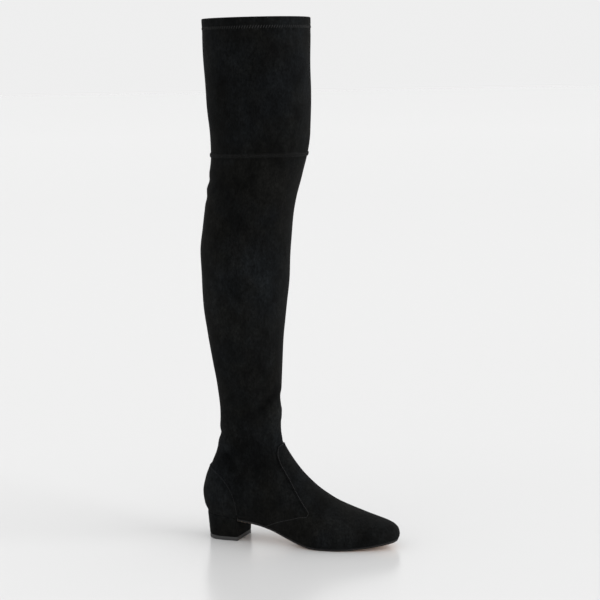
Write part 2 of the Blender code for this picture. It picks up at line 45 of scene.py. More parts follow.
BALL_WIDTH = 0.08
HEEL_WIDTH = 0.054
HEEL_HEIGHT = 0.036
TREAD_FLOOR = 0.0033
TOE_SPRING = 0.009
OUTSOLE_THICKNESS = 0.003
HEEL_LENGTH = 0.048
HEEL_TAPER = 0.0035
HEEL_MARGIN = 0.001
TOP_PIECE_THICKNESS = 0.005
INSTEP_HEIGHT = 0.072
FOOT_WIDTH = 0.086
LEG_HEIGHT = 0.644
KNEE_SEAM_HEIGHT = 0.471
WALL = 0.0016
OVERLAY = 0.001
CLEARANCE = 0.0003
BAND_HEIGHT = 0.006
BAND_THICKNESS = 0.0008
HEM_HEIGHT = 0.013
COUNTER_HEIGHT = 0.064
HEEL_ROUND = 0.109
HEEL_SQUARENESS = 2.2
BREAST_RADIUS = 0.0016
MM = 0.001
HALF_HEEL = 0.5 * HEEL_LENGTH

# Heights of the knee seam and the top above the floor, and of the raised surfaces over the suede
KNEE_Z = HEEL_HEIGHT + KNEE_SEAM_HEIGHT
TOP_Z = HEEL_HEIGHT + LEG_HEIGHT
OVERLAY_TOP = CLEARANCE + OVERLAY
BAND_TOP = CLEARANCE + BAND_THICKNESS

# How finely the pieces are meshed
FOOT_STEPS = 5
LEG_ROWS = 120
UPPER_COLUMNS = 62
THIGH_ROWS = 62
LINING_ROWS = 40
THIGH_COLUMNS = 66
BAND_COLUMNS = 80
VAMP_ROWS = 110
COUNTER_ROWS = 34
SOLE_COLUMNS = 12
THREAD_SIDES = 6
CLOSE_COLUMNS = (0.0, 0.0035, 0.007, 0.011, 0.016, 0.023)
SEAM_SPACING = 0.0013
SEAM_PLACES = (4.0, 27.0)
BISECTIONS = 50
PLACE_STEP = 0.04
SIDE_STEP = 0.008

# The fold at the top: below the top, offset
TOP_FOLD = (
    (0.0012, -0.0001), (0.0005, -0.0004), (0.0001, -0.0009), (0.0, -0.0016), (0.0001, -0.0023),
    (0.0005, -0.0028), (0.0012, -0.0031), (0.0024, -0.0032), (0.006, -0.0032), (0.0095, -0.0032),
    (HEM_HEIGHT - 0.0006, -0.0032), (HEM_HEIGHT - 0.0001, -0.0029), (HEM_HEIGHT + 0.0002, -0.002),
    (HEM_HEIGHT + 0.0006, -WALL),
)

# Dents that the hem's stitches draw in: depth, below the top, half width
HEM_GROOVES = ((0.00035, 0.0125, 0.0022), (0.0002, 0.018, 0.003))

# The edge of an overlay: distance inwards, offset
EDGE_PROFILE = (
    (0.0, -0.0004), (0.0, 0.0006), (0.0001, 0.0009), (0.00028, 0.00112), (0.0006, 0.00124), (0.0011, 0.0013),
    (0.0018, 0.0013),
)

# Heel cover: share of the height, inset. Rubber piece: height, inset. Outsole: share of the depth, outset.
HEEL_LAYERS = (
    (0.0, 0.0009), (0.004, 0.0004), (0.012, 0.0001), (0.025, 0.0), (0.2, 0.0), (0.4, 0.0), (0.6, 0.0), (0.8, 0.0),
    (0.96, 0.0), (0.99, 0.0002), (1.0, 0.0007),
)
RUBBER_LAYERS = (
    (0.0, 0.0007), (0.0003, 0.0002), (0.0008, 0.0), (0.0042, 0.0), (0.0047, 0.0001), (TOP_PIECE_THICKNESS, 0.0004),
)
SOLE_LAYERS = ((1.0, -0.001), (0.93, -0.0005), (0.78, -0.0002), (0.25, 0.0005), (0.08, 0.0007), (0.0, 0.0004))

# Stitches of the overlays, and threads' thickness at their ends as a share
STITCH_INSET = 0.0017
STITCH_PITCH = 0.0021
STITCH_LENGTH = 0.0015
STITCH_RADIUS = 0.00024
STITCH_MARGIN = 0.0012
THREAD_END = 0.45

# Stitches round the leg: half width of the row, offset, pitch, lean in quarter pitches, ways, radius
KNEE_STITCHES = (0.0021, BAND_TOP, 0.0026, 2.0, (1, -1), 0.00022)
HEM_STITCHES = (0.0023, -0.0002, 0.0034, 2.6, (1,), 0.00034)
HEM_LINE = 0.0125

# Relief of the dressed surface: banks beside a crease, its fading towards its ends and past the boot's middle,
# and the waves of the leg
CREASE_BANKS = 0.35
CREASE_FADE = 1.6
CREASE_END = 0.25
SIDE_BLEND = 0.012
WAVE_HEIGHT = 0.0003
WAVES_FROM = 0.1

# Creases start above a height and come to full strength over a rise. Overlays thin out close to the sole.
CREASES_FROM = 0.045
CREASES_RISE = 0.03
TUCK_HEIGHT = 0.002
TUCK_SHARE = 0.8

# The back seam: foot of it, depth and width of its groove, height, distance and width of its ridges
BACK_SEAM_FOOT = HEEL_HEIGHT + COUNTER_HEIGHT - 0.004
BACK_GROOVE = (0.00055, 0.0006)
BACK_RIDGES = (0.00022, 0.0018, 0.0009)

# Colours: tints of the nap, dark and light of the leathers
COOL_TINT = (0.86, 1.0, 1.11, 1.0)
WARM_TINT = (1.0, 1.01, 0.92, 1.0)
SOLE_TANS = ((0.42, 0.25, 0.15, 1.0), (0.56, 0.37, 0.24, 1.0))
SOCK_TANS = ((0.36, 0.24, 0.15, 1.0), (0.46, 0.32, 0.21, 1.0))

# The studio: levels of floor and sky, suns (name, direction, power, spread), camera in metres and degrees
FLOOR_LEVEL = 0.8
WORLD_LEVEL = 0.86
SUNS = (("key_light", (0.95, -0.02, 0.34), 1.9, 45.0), ("fill_light", (-0.25, -0.95, 0.45), 0.22, 60.0))
CAMERA_AZIMUTH = 22.5
CAMERA_ELEVATION = 13.2
CAMERA_DISTANCE = 2.4
CAMERA_ANCHOR = (0.06, 0.0, 0.06)
CAMERA_AIM = (0.11, 0.0, 0.319)
CAMERA_ROLL = 1.2
CAMERA_LENS = 108.7
CAMERA_SENSOR = 36.0

# Along the sole, share of the drop from the heel seat to the tread, share of the toe spring
SOLE_LINE = (
    (0.0, 1.0, 0.0), (0.095, 0.93, 0.0), (0.186, 0.845, 0.0), (0.24, 0.79, 0.0),
    (0.3, 0.71, 0.0), (0.36, 0.585, 0.0), (0.42, 0.42, 0.0), (0.48, 0.25, 0.0),
    (0.543, 0.105, 0.0), (0.595, 0.024, 0.0), (0.643, 0.0, 0.0), (0.722, 0.0, 0.0),
    (0.814, 0.0, 0.15), (0.911, 0.0, 0.53), (1.0, 0.0, 1.0),
)

# Along the sole, width followed, lateral share, medial share
OUTLINE = (
    (0.109, HEEL_WIDTH, 0.5, 0.5), (0.186, HEEL_WIDTH, 0.5, 0.482), (0.291, HEEL_WIDTH, 0.482, 0.41),
    (0.368, BALL_WIDTH, 0.33, 0.256), (0.465, BALL_WIDTH, 0.388, 0.288), (0.562, BALL_WIDTH, 0.468, 0.388),
    (0.64, BALL_WIDTH, 0.505, 0.47), (0.705, BALL_WIDTH, 0.494, 0.498), (0.775, BALL_WIDTH, 0.445, 0.478),
    (0.833, BALL_WIDTH, 0.385, 0.425), (0.86, BALL_WIDTH, 0.352, 0.392),
)

# Foot sections: stand, ridge, rise, lateral, medial, low, high, shift, taper
FOOT_SECTIONS = (
    (0.86, 1.0, 0.0, 0.3275, 0.365, 2.2, 2.6, 0.03, 0.36),
    (0.858, 1.004, 0.076, 0.339, 0.374, 2.2, 2.55, 0.03, 0.34),
    (0.854, 0.999, 0.164, 0.35, 0.385, 2.2, 2.48, 0.03, 0.3),
    (0.847, 0.979, 0.252, 0.364, 0.398, 2.2, 2.38, 0.03, 0.23),
    (0.833, 0.946, 0.329, 0.383, 0.418, 2.2, 2.25, 0.028, 0.14),
    (0.812, 0.897, 0.412, 0.41, 0.442, 2.2, 2.15, 0.026, 0.07),
    (0.783, 0.839, 0.5, 0.442, 0.469, 2.2, 2.1, 0.024, 0.03),
    (0.748, 0.779, 0.588, 0.473, 0.488, 2.2, 2.05, 0.024, 0.0),
    (0.707, 0.721, 0.671, 0.5, 0.498, 2.2, 2.0, 0.026, 0.0),
    (0.663, 0.667, 0.754, 0.512, 0.488, 2.2, 1.95, 0.03, 0.0),
    (0.612, 0.616, 0.86, 0.506, 0.459, 2.2, 1.92, 0.034, 0.0),
    (0.558, 0.572, 0.95, 0.477, 0.424, 2.2, 1.9, 0.036, 0.0),
    (0.5, 0.533, 1.04, 0.448, 0.395, 2.2, 1.9, 0.036, 0.0),
    (0.438, 0.5, 1.125, 0.424, 0.378, 2.2, 1.9, 0.034, 0.0),
    (0.372, 0.473, 1.212, 0.407, 0.372, 2.2, 1.92, 0.03, 0.0),
    (0.302, 0.45, 1.298, 0.395, 0.372, 2.2, 1.95, 0.025, 0.0),
    (0.233, 0.431, 1.38, 0.39, 0.372, 2.2, 2.0, 0.02, 0.0),
    (0.167, 0.417, 1.455, 0.384, 0.372, 2.2, 2.0, 0.016, 0.0),
    (0.109, 0.407, 1.518, 0.378, 0.372, 2.2, 2.0, 0.012, 0.0),
    (0.055, 0.401, 1.568, 0.374, 0.37, 2.2, 2.0, 0.01, 0.0),
    (0.015, 0.399, 1.6, 0.372, 0.369, 2.2, 2.0, 0.008, 0.0),
    (0.0, 0.398, 1.633, 0.371, 0.369, 2.3, 2.0, 0.008, 0.0),
)

# Depths and widths that sections of the leg follow
ANKLE = (0.0805, 0.069)
FOOT = (SOLE_LENGTH, ANKLE[1])
CALF = (0.117, 0.109)
KNEE = (0.124, 0.115)
COLLAR = (0.1386, 0.135)

# Leg sections: back, front, heel, sizes followed, share of the depth, share of the width, low, high
LEG_SECTIONS = (
    (0.014, 0.171, -0.015, FOOT, 0.4087, 0.926, 2.35, 2.0),
    (0.037, 0.182, -0.022, FOOT, 0.4143, 0.936, 2.35, 2.0),
    (0.065, 0.197, -0.007, FOOT, 0.3997, 0.948, 2.35, 2.0),
    (0.096, 0.217, 0.024, FOOT, 0.3697, 0.962, 2.3, 2.0),
    (0.13, 0.241, 0.06, ANKLE, 1.085, 0.98, 2.25, 2.02),
    (0.169, 0.267, 0.079, ANKLE, 1.029, 1.018, 2.2, 2.04),
    (0.211, 0.295, 0.083, ANKLE, 1.025, 1.085, 2.15, 2.06),
    (0.259, 0.326, 0.072, CALF, 0.74, 0.743, 2.15, 2.08),
    (0.312, 0.362, 0.052, CALF, 0.796, 0.817, 2.15, 2.1),
    (0.368, 0.402, 0.029, CALF, 0.873, 0.89, 2.15, 2.1),
    (0.4255, 0.444, 0.013, CALF, 0.936, 0.954, 2.15, 2.1),
    (0.48, 0.487, 0.007, CALF, 0.975, 0.991, 2.15, 2.1),
    (0.534, 0.534, 0.006, CALF, 0.998, 1.0, 2.15, 2.1),
    (0.5885, 0.5885, 0.019, CALF, 0.996, 0.991, 2.12, 2.12),
    (0.643, 0.643, 0.042, CALF, 1.0, 0.987, 2.12, 2.12),
    (0.6895, 0.6895, 0.062, KNEE, 0.972, 0.965, 2.12, 2.12),
    (0.7315, 0.7315, 0.076, KNEE, 1.0, 1.0, 2.12, 2.12),
    (0.775, 0.775, 0.074, COLLAR, 0.932, 0.889, 2.12, 2.12),
    (0.829, 0.829, 0.064, COLLAR, 0.964, 0.926, 2.12, 2.12),
    (0.891, 0.891, 0.055, COLLAR, 0.978, 0.956, 2.12, 2.12),
    (0.953, 0.953, 0.05, COLLAR, 0.99, 0.985, 2.12, 2.12),
    (1.0, 1.0, 0.047, COLLAR, 1.0, 1.0, 2.12, 2.12),
)

# Seams in the side view: along the sole, height above the sole line as a share of the instep height
VAMP_SEAM_LATERAL = (
    (0.412, 1.575), (0.392, 1.475), (0.392, 1.38), (0.411, 1.22), (0.46, 1.02), (0.508, 0.83),
    (0.554, 0.67), (0.584, 0.58), (0.583, 0.542), (0.549, 0.505), (0.455, 0.318), (0.335, 0.0),
)
VAMP_SEAM_MEDIAL = (
    (0.412, 1.575), (0.388, 1.465), (0.405, 1.27), (0.442, 1.1), (0.491, 0.95), (0.535, 0.85),
    (0.567, 0.745), (0.559, 0.635), (0.503, 0.51), (0.413, 0.28), (0.322, 0.0),
)

# The counter seam: along the heel, height above the seat as a share of the counter height
COUNTER_SEAM = (
    (0.1, 1.004), (0.3, 0.966), (0.55, 0.861), (0.8, 0.662), (0.98, 0.447), (1.07, 0.211), (1.09, 0.0),
)

# Creases in the side view: side (-1 lateral, 1 medial, 0 both), depth, width, then points of x from the heel's
# back and z above the floor, in millimetres. A negative depth is a soft ridge.
CREASES = (
    (-1, 2.6, 6.2, ((108, 201), (101, 194), (92, 184), (82, 174), (70, 165))),
    (-1, -1.4, 8.5, ((101, 186), (100, 170), (99, 152))),
    (1, 1.4, 7, ((108, 196), (96, 186), (80, 174))),
    (1, -0.8, 9, ((102, 178), (100, 158))),
    (-1, 1.9, 4.2, ((39, 122), (43, 112), (48, 99), (56, 83))),
    (-1, -0.8, 5.5, ((31, 118), (37, 104), (44, 90))),
    (-1, 1.4, 8.5, ((60, 144), (69, 127), (79, 104), (93, 76))),
    (-1, 0.8, 4.5, ((12, 146), (30, 140), (48, 138), (64, 143))),
    (1, 0.9, 4.6, ((10, 128), (28, 118), (44, 116))),
    (1, 0.8, 4.2, ((18, 104), (26, 92), (38, 83))),
    (0, 0.7, 6, ((6, 146), (24, 142), (44, 148))),
    (0, 0.8, 5, ((4, 478), (20, 474), (40, 476))),
    (0, 0.6, 5, ((6, 455), (24, 450), (46, 456))),
    (0, -0.6, 6, ((6, 466), (28, 462))),
)

# Painted shade and painted light on the suede: darker in creases and hollows, lighter on bulges and the toe where
# the light falls. In millimetres: x from the heel's back, y towards the medial side, z, radius, tone
PAINTED_SHADE_AND_LIGHT = (
    (102, -10, 172, 21, 2.0), (101, -10, 153, 19, 1.5), (101, -10, 197, 12, 0.3), (95, -19, 189, 12, 0.25),
    (87, -26, 180, 13, 0.35), (77, -31, 171, 12, 0.6), (68, -34, 128, 26, 0.5), (80, -36, 103, 26, 0.48),
    (43, -34, 112, 13, 0.45), (48, -34, 99, 13, 0.38), (54, -36, 86, 13, 0.5), (36, -28, 128, 16, 1.5),
    (12, -30, 62, 48, 1.75), (110, -45, 55, 40, 1.25), (190, -30, 20, 50, 1.45), (54, -58, 330, 100, 1.5),
    (60, -60, 460, 70, 0.86), (20, -55, 560, 80, 0.62),
)

LAST_FOOT = len(FOOT_SECTIONS) - 1
LAST_LEG = LAST_FOOT + len(LEG_SECTIONS)


def curve(xs, ys):
    """A smooth function through the knots, held at its ends."""
    xs = np.asarray(xs, float)
    ys = np.asarray(ys, float)
    secants = np.diff(ys) / np.diff(xs)
    before, after = secants[:-1], secants[1:]
    same = before * after > 0.0
    inner = np.where(same, 2.0 * before * after / np.where(same, before + after, 1.0), 0.0)
    tangents = np.hstack(([secants[0]], inner, [secants[-1]]))

    def value(x):
        x = np.clip(x, xs[0], xs[-1])
        i = np.clip(np.searchsorted(xs, x, side="right") - 1, 0, len(xs) - 2)
        span = xs[i + 1] - xs[i]
        t = (x - xs[i]) / span
        low = (1.0 + 2.0 * t) * (1.0 - t) ** 2 * ys[i] + t * (1.0 - t) ** 2 * span * tangents[i]
        return low + t * t * (3.0 - 2.0 * t) * ys[i + 1] + t * t * (t - 1.0) * span * tangents[i + 1]

    return value


def column(table, index):
    return [row[index] for row in table]


DROP_SHARE = curve(column(SOLE_LINE, 0), column(SOLE_LINE, 1))
SPRING_SHARE = curve(column(SOLE_LINE, 0), column(SOLE_LINE, 2))
LATERAL_EDGE = curve(column(OUTLINE, 0), [row[1] * row[2] for row in OUTLINE])
MEDIAL_EDGE = curve(column(OUTLINE, 0), [row[1] * row[3] for row in OUTLINE])


def sole_line(x):
    """Height of the upper's lower edge above the floor, x from the heel's back."""
    along = np.asarray(x) / SOLE_LENGTH
    return TREAD_FLOOR + (HEEL_HEIGHT - TREAD_FLOOR) * DROP_SHARE(along) + TOE_SPRING * SPRING_SHARE(along)


def edge_half_widths(along):
    """Half widths of the sole, lateral and medial, at shares of its length."""
    reach = np.clip(1.0 - np.asarray(along) / HEEL_ROUND, 0.0, 1.0)
    part = np.maximum(0.0, 1.0 - reach**HEEL_SQUARENESS) ** (1.0 / HEEL_SQUARENESS)
    return LATERAL_EDGE(along) * part, MEDIAL_EDGE(along) * part


def foot_row(row):
    stand, ridge, rise, lateral, medial, low, high, shift, taper = row
    base_x, top_x = stand * SOLE_LENGTH, ridge * SOLE_LENGTH
    top_z = float(sole_line(top_x)) + rise * INSTEP_HEIGHT
    widths = (lateral * FOOT_WIDTH, medial * FOOT_WIDTH, low, high, shift * FOOT_WIDTH, taper)
    return (base_x, float(sole_line(base_x)), top_x, top_z, *widths)


def leg_row(row):
    back, front, heel, (depth, width), depth_share, width_share, low, high = row
    x, half = heel * SOLE_LENGTH, 0.5 * width * width_share
    back_z, front_z = HEEL_HEIGHT + back * LEG_HEIGHT, HEEL_HEIGHT + front * LEG_HEIGHT
    return (x, back_z, x + depth * depth_share, front_z, half, half, low, high, 0.0, 0.0)


ROWS = [foot_row(row) for row in FOOT_SECTIONS] + [leg_row(row) for row in LEG_SECTIONS]
KNOTS = np.arange(len(ROWS), dtype=float)
CURVES = [curve(KNOTS, column(ROWS, i)) for i in range(len(ROWS[0]))]
STAND = curve(KNOTS[: LAST_FOOT + 1], column(FOOT_SECTIONS, 0))
BACK_X = curve(KNOTS[LAST_FOOT:], column(ROWS[LAST_FOOT:], 0))
BACK_Z = curve(KNOTS[LAST_FOOT:], column(ROWS[LAST_FOOT:], 1))


def section_ends(place):
    """Lower ends and tops of sections in the side view, and the half widths of their lower ends."""
    on_sole = place < LAST_FOOT
    stand = STAND(place)
    base_x = np.where(on_sole, stand * SOLE_LENGTH, BACK_X(place))
    base_z = np.where(on_sole, sole_line(stand * SOLE_LENGTH), BACK_Z(place))
    edges = [np.where(on_sole, edge, 0.0) for edge in edge_half_widths(stand)]
    return base_x, base_z, CURVES[2](place), CURVES[3](place), edges


def along_and_width(turn, widest, edge, low, high):
    """Share along a section and half width, where turn is 0 at its lower end and 1 on the ridge."""
    start = np.arcsin(np.minimum(1.0, edge / widest) ** (0.5 * low))
    first = np.cos(start) ** (2.0 / low)
    angle = start + (math.pi - start) * turn
    lower = angle <= 0.5 * math.pi
    power = np.where(lower, 2.0 / low, 2.0 / high)
    reach = np.abs(np.cos(angle)) ** power
    width = widest * np.abs(np.sin(angle)) ** power
    return np.where(lower, first - reach, first + reach) / (first + 1.0), width


def surface(place, side):
    """Points of the surface. Side runs from -1 at the lateral end over 0 on the ridge to 1 at the medial."""
    place, side = np.broadcast_arrays(np.asarray(place, float), np.asarray(side, float))
    place = np.clip(place, 0.0, LAST_LEG)
    wrapped = np.where(side > 1.0, side - 2.0, np.where(side < -1.0, side + 2.0, side))
    side = np.where(place >= LAST_FOOT, wrapped, np.clip(side, -1.0, 1.0))
    base_x, base_z, top_x, top_z, edges = section_ends(place)
    lateral, medial, low, high, shift, taper = (value(place) for value in CURVES[4:])
    is_medial = side > 0.0
    widest = np.where(is_medial, medial, lateral)
    edge = np.where(is_medial, edges[1], edges[0])
    along, width = along_and_width(1.0 - np.abs(side), widest, edge, low, high)
    sign = np.where(is_medial, 1.0, -1.0)
    x = base_x + (top_x - base_x) * along - HALF_HEEL
    y = sign * width * (1.0 - taper * along) + shift * along
    z = base_z + (top_z - base_z) * along
    return np.stack([x, y, z], axis=-1)


def unit(vectors):
    return vectors / np.maximum(np.linalg.norm(vectors, axis=-1, keepdims=True), 1e-12)


def local_frame(place, side):
    """Points of the smooth surface with its slopes by place and side and its outward normal."""
    point = surface(place, side)
    low, high = np.maximum(place - PLACE_STEP, 0.0), np.minimum(place + PLACE_STEP, LAST_LEG)
    by_place = (surface(high, side) - surface(low, side)) / (high - low)[..., None]
    by_side = (surface(place, side + SIDE_STEP) - surface(place, side - SIDE_STEP)) / (2.0 * SIDE_STEP)
    normal = unit(np.cross(by_place, by_side))
    base_x, base_z, top_x, top_z, _ = section_ends(place)
    middle = np.stack([0.5 * (base_x + top_x) - HALF_HEEL, 0.0 * base_x, 0.5 * (base_z + top_z)], axis=-1)
    outwards = np.sum(normal * (point - middle), axis=-1, keepdims=True)
    return point, by_place, by_side, np.where(outwards < 0.0, -normal, normal)


def smooth(value):
    value = np.clip(value, 0.0, 1.0)
    return value * value * (3.0 - 2.0 * value)


def bell(distance, width):
    return np.exp(-((distance / width) ** 2))


def line_distance(x, z, line):
    """Distances to a line in the side view, and shares along it of the nearest points."""
    nearest, share = np.ones(x.shape), np.zeros(x.shape)
    for i, (a, b) in enumerate(zip(line, line[1:])):
        step = b - a
        t = np.clip(((x - a[0]) * step[0] + (z - a[1]) * step[1]) / np.dot(step, step), 0.0, 1.0)
        away = np.hypot(x - a[0] - t * step[0], z - a[1] - t * step[1])
        closer = away < nearest
        nearest = np.where(closer, away, nearest)
        share = np.where(closer, (i + t) / (len(line) - 1), share)
    return nearest, share


def crease_lift(points):
    """How far creases and soft waves move the surface outwards."""
    x, y, z = points[..., 0] + HALF_HEEL, points[..., 1], points[..., 2]
    lift = np.zeros(x.shape)
    for side, depth, width, line in CREASES:
        depth, width = depth * MM, width * MM
        nearest, share = line_distance(x, z, np.asarray(line) * MM)
        strength = smooth(CREASE_FADE - CREASE_FADE * np.abs(2.0 * share - 1.0) + CREASE_END)
        if side:
            strength = strength * smooth(0.5 + side * y / SIDE_BLEND)
        lift += strength * depth * (CREASE_BANKS * bell(nearest - 2.0 * width, width) - bell(nearest, width))
    wave = np.sin(z * 55.0 + y * 60.0 + 0.7) * np.cos(x * 48.0 - z * 21.0 + 1.3)
    wave += 0.6 * np.sin(z * 96.0 - y * 84.0 + x * 70.0)
    return lift + WAVE_HEIGHT * smooth((z - WAVES_FROM) / WAVES_FROM) * wave


def back_seam(points, side):
    """A fine sewn seam down the middle of the back of the leg."""
    away = np.abs(points[..., 1])
    (depth, groove), (height, offset, ridge) = BACK_GROOVE, BACK_RIDGES
    relief = height * bell(away - offset, ridge) - depth * bell(away, groove)
    return np.where((np.abs(side) > 0.8) & (points[..., 2] > BACK_SEAM_FOOT), relief, 0.0)


def skin(place, side, offset):
    """Points on the dressed surface, moved outwards by an offset, and the normals there."""
    place, side = np.broadcast_arrays(np.asarray(place, float), np.asarray(side, float))
    point, _, _, normal = local_frame(place, side)
    lift = crease_lift(point) + back_seam(point, side)
    lift = lift * smooth((point[..., 2] - CREASES_FROM) / CREASES_RISE)
    above = (point[..., 2] - sole_line(point[..., 0] + HALF_HEEL)) / TUCK_HEIGHT
    tuck = 1.0 - TUCK_SHARE * (1.0 - np.clip(above, 0.0, 1.0)) ** 2
    offset = np.broadcast_to(np.asarray(offset, float), place.shape)
    offset = np.where((offset > 0.0) & (place < LAST_FOOT), offset * tuck, offset)
    return point + normal * (offset + lift)[..., None], normal


def bisect(low, high, below):
    """The values between two bounds at which a condition ends."""
    for _ in range(BISECTIONS):
        middle = 0.5 * (low + high)
        rises = below(middle)
        low, high = np.where(rises, middle, low), np.where(rises, high, middle)
    return 0.5 * (low + high)


def place_at_height(height):
    """The place of the level leg section at a height above the floor."""
    return float(bisect(LAST_LEG - 10.0, LAST_LEG, lambda place: section_ends(place)[1] < height))


def run_along(points):
    """How far along a line its points lie."""
    return np.hstack(([0.0], np.cumsum(np.linalg.norm(np.diff(points, axis=0), axis=1))))


def resampled(at, run, values):
    """Values along a line, read at other runs."""
    return np.stack([np.interp(at, run, one) for one in values.T], axis=-1)


def add_underside(mesh, depth):
    """Closes an open sheet, bent round the foot or leg, with an underside and a rim."""
    mesh.normal_update()
    middle = sum((vertex.co for vertex in mesh.verts), Vector()) / len(mesh.verts)
    if sum(vertex.normal.dot(vertex.co - middle) for vertex in mesh.verts) < 0.0:
        bmesh.ops.reverse_faces(mesh, faces=mesh.faces[:])
        mesh.normal_update()
    rim = [tuple(edge.verts) for edge in mesh.edges if edge.is_boundary]
    sheet = list(mesh.faces)
    under = {vertex: mesh.verts.new(vertex.co - vertex.normal * depth) for vertex in list(mesh.verts)}
    for face in sheet:
        mesh.faces.new([under[vertex] for vertex in reversed(face.verts)]).smooth = True
    for first, second in rim:
        mesh.faces.new((first, second, under[second], under[first])).smooth = True
    bmesh.ops.recalc_face_normals(mesh, faces=mesh.faces)


def placed(name, data):
    """A new object in the scene."""
    thing = bpy.data.objects.new(name, data)
    bpy.context.scene.collection.objects.link(thing)
    return thing


def new_mesh(name, points, faces, materials, indices=None, weld=True, backing=0.0):
    """An object from points and faces, with its faces turned out and its shading smooth.

    A sheet with a backing gets an underside at that depth and becomes a closed body.
    """
    data = bpy.data.meshes.new(name)
    data.from_pydata([tuple(p) for p in np.asarray(points, float)], [], faces)
    for made_of in materials:
        data.materials.append(made_of)
    if indices is not None:
        data.polygons.foreach_set("material_index", np.asarray(indices, dtype=np.int32))
    data.shade_smooth()
    if weld:
        mesh = bmesh.new()
        mesh.from_mesh(data)
        bmesh.ops.remove_doubles(mesh, verts=mesh.verts, dist=1e-6)
        bmesh.ops.dissolve_degenerate(mesh, edges=mesh.edges, dist=1e-7)
        bmesh.ops.recalc_face_normals(mesh, faces=mesh.faces)
        if backing:
            add_underside(mesh, backing)
        mesh.to_mesh(data)
        mesh.free()
    return placed(name, data)


def dress(thing, slot, *nodes):
    """Ties a piece to the boot's body and hides its solids. The slot is not used."""
    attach(thing, "root")
    if nodes:
        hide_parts(*nodes)


def cover(name, node, points, faces, suede, depth):
    """A sheet of suede over a solid, closed underneath."""
    dress(new_mesh(name, points.reshape(-1, 3), faces, (suede,), backing=depth), "suede", node)


def grid(rows, columns, first=0, wrap=False):
    """Faces of a grid of points in row order."""
    faces = []
    for r in range(rows - 1):
        near, far = first + r * columns, first + (r + 1) * columns
        for c in range(columns if wrap else columns - 1):
            d = (c + 1) % columns
            faces.append((near + c, near + d, far + d, far + c))
    return faces


def side_columns(count):
    """Sides from -1 to 1, close together near both ends."""
    half = np.hstack((CLOSE_COLUMNS, np.linspace(0.032, 1.0, count)))
    return np.hstack((half - 1.0, (1.0 - half)[::-1][1:]))


def foot_places(steps):
    """Places from the toe to the back of the heel, closer together where the heel turns."""
    early = np.linspace(0.0, LAST_FOOT - 1.0, (LAST_FOOT - 1) * steps + 1)
    late = LAST_FOOT - (1.0 - np.linspace(0.0, 1.0, 3 * steps + 1)[1:]) ** 2
    return np.hstack((early, late))


def build_upper(suede, lining):
    """The hollow upper from the sole to the knee seam."""
    leg = np.linspace(LAST_FOOT, place_at_height(KNEE_Z), LEG_ROWS)[1:]
    places = np.hstack((foot_places(FOOT_STEPS), leg))
    sides = side_columns(UPPER_COLUMNS)
    outer, inner = (skin(places[:, None], sides[None, :], offset)[0] for offset in (0.0, -WALL))
    rows, columns = outer.shape[:2]
    count = rows * columns
    faces = grid(rows, columns) + grid(rows, columns, first=count)
    wall = len(faces) // 2
    edges = [(r * columns + c, r * columns + c + 1) for r in (0, rows - 1) for c in range(columns - 1)]
    opened = [r for r in range(rows) if places[r] <= LAST_FOOT]
    edges += [(r * columns + c, (r + 1) * columns + c) for c in (0, columns - 1) for r in opened[:-1]]
    faces += [(a, b, count + b, count + a) for a, b in edges]
    indices = [0] * wall + [1] * wall + [0] * len(edges)
    points = np.concatenate((outer.reshape(-1, 3), inner.reshape(-1, 3)))
    dress(new_mesh("upper_suede", points, faces, (suede, lining), indices), "suede", "upper")


def ring_rows(heights, offsets, sides):
    """Points round the leg at heights, moved outwards by offsets."""
    places = np.array([place_at_height(z) for z in heights])
    return skin(places[:, None], sides[None, :], np.asarray(offsets)[:, None])[0]


def build_thigh(suede, lining):
    """The tube above the knee seam, folded in at its top."""
    outside = [(z, 0.0) for z in np.linspace(KNEE_Z + CLEARANCE, TOP_Z - 0.0022, THIGH_ROWS)]
    fold = [(TOP_Z - below, offset) for below, offset in TOP_FOLD]
    inside = [(z, -WALL) for z in np.linspace(TOP_Z - HEM_HEIGHT - 0.004, KNEE_Z + CLEARANCE, LINING_ROWS)]
    heights, offsets = np.array(outside + fold + inside).T
    grooves = sum(depth * bell(TOP_Z - heights - below, width) for depth, below, width in HEM_GROOVES)
    offsets = offsets - np.where(offsets > -1e-5, grooves, 0.0)
    points = ring_rows(heights, offsets, side_columns(THIGH_COLUMNS))
    rows, columns = points.shape[:2]
    last = (rows - 1) * columns
    faces = grid(rows, columns) + [(last + c, last + c + 1, c + 1, c) for c in range(columns - 1)]
    outer_faces = (len(outside) + len(TOP_FOLD) - 1) * (columns - 1)
    indices = [0] * outer_faces + [1] * (len(faces) - outer_faces)
    thing = new_mesh("thigh_panel_suede", points.reshape(-1, 3), faces, (suede, lining), indices)
    dress(thing, "suede", "thigh_panel")


def build_band(suede):
    """The raised band sewn over the knee seam, with a dip along its middle."""
    rise = [(1.0, -0.0004), (1.0, 0.0003), (0.94, 0.6 * BAND_TOP), (0.8, 0.92 * BAND_TOP), (0.45, BAND_TOP),
            (0.12, BAND_TOP)]
    profile = [(-share, offset) for share, offset in rise] + [(0.0, 0.8 * BAND_TOP)] + rise[::-1]
    shares, offsets = np.array(profile).T
    points = ring_rows(KNEE_Z + 0.5 * BAND_HEIGHT * shares, offsets, side_columns(BAND_COLUMNS))
    cover("knee_band_suede", "knee_band", points, grid(*points.shape[:2]), suede, BAND_TOP)


def seam_points(seam, scale_x, scale_z, base):
    """A seam's points in the side view at an even spacing."""
    knots = np.arange(len(seam), dtype=float)
    fine = np.linspace(0.0, knots[-1], 1200)
    x = curve(knots, [row[0] * scale_x for row in seam])(fine)
    z = base(x) + curve(knots, [row[1] * scale_z for row in seam])(fine)
    line = np.column_stack((x, z))
    run = run_along(line)
    return resampled(np.linspace(0.0, run[-1], int(run[-1] / SEAM_SPACING)), run, line).T


